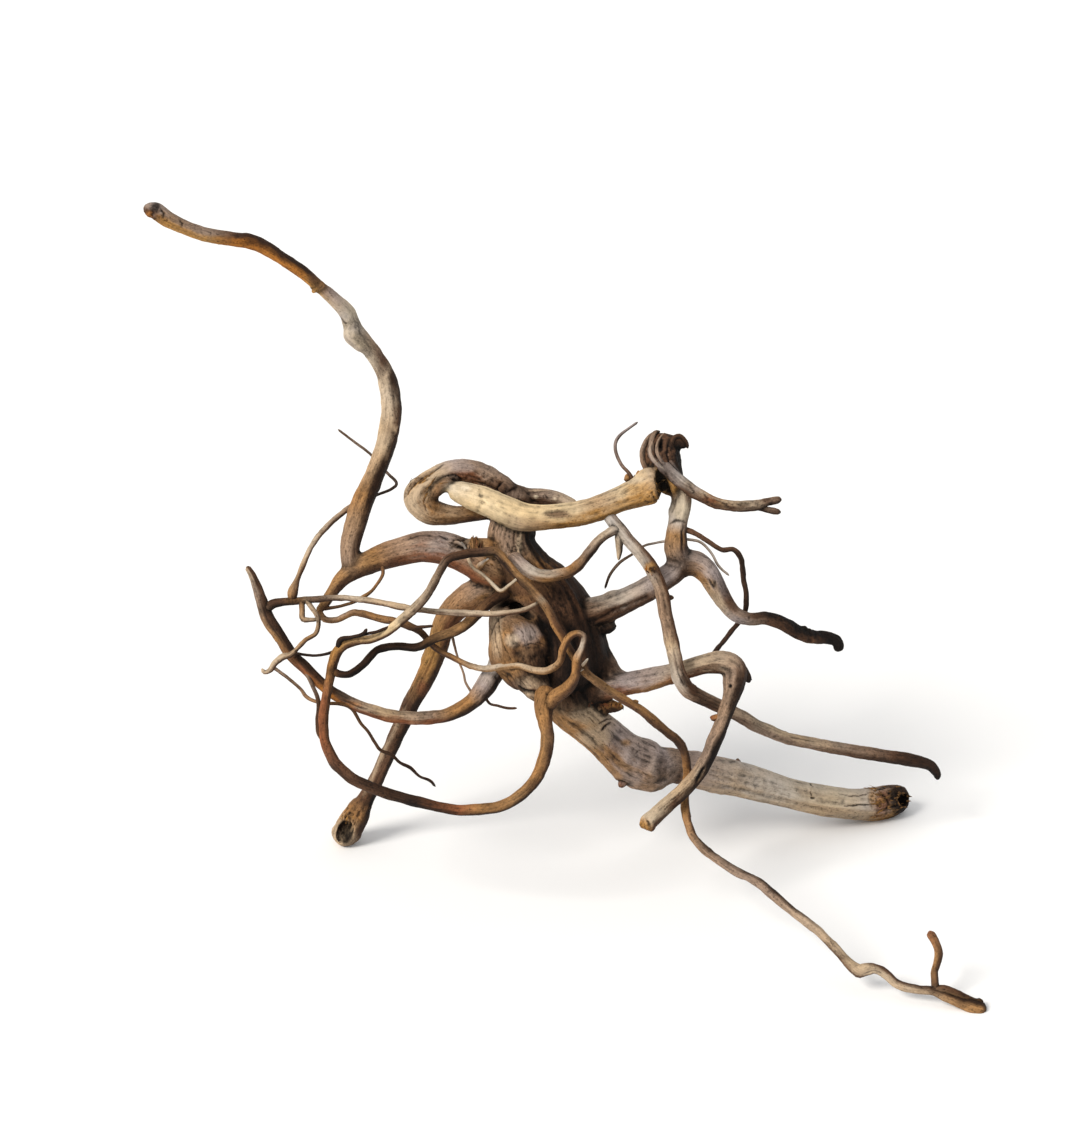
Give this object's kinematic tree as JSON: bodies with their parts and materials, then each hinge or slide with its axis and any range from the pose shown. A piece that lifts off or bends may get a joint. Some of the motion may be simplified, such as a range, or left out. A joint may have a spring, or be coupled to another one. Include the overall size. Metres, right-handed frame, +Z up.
{
  "type": "bogwood root",
  "caption": "Weathered bogwood root crown with a broken trunk, a hollow-ended leg, looped, arched and forked side roots and hair roots, standing on small ground flats.",
  "frame": {"origin": "middle of the box's underside, on the surface that the root rests on", "axes": "+Z up, +Y away from the viewer of the picture, +X to the viewer's right"},
  "size_m": [0.404, 0.224, 0.3362],
  "materials": {
    "root_wood": "dry weathered wood, grey-beige above, orange-brown below, near-black tips and bark"
  },
  "bodies": {
    "root": {"bogwood_root": "root_wood"}
  },
  "joints": []
}
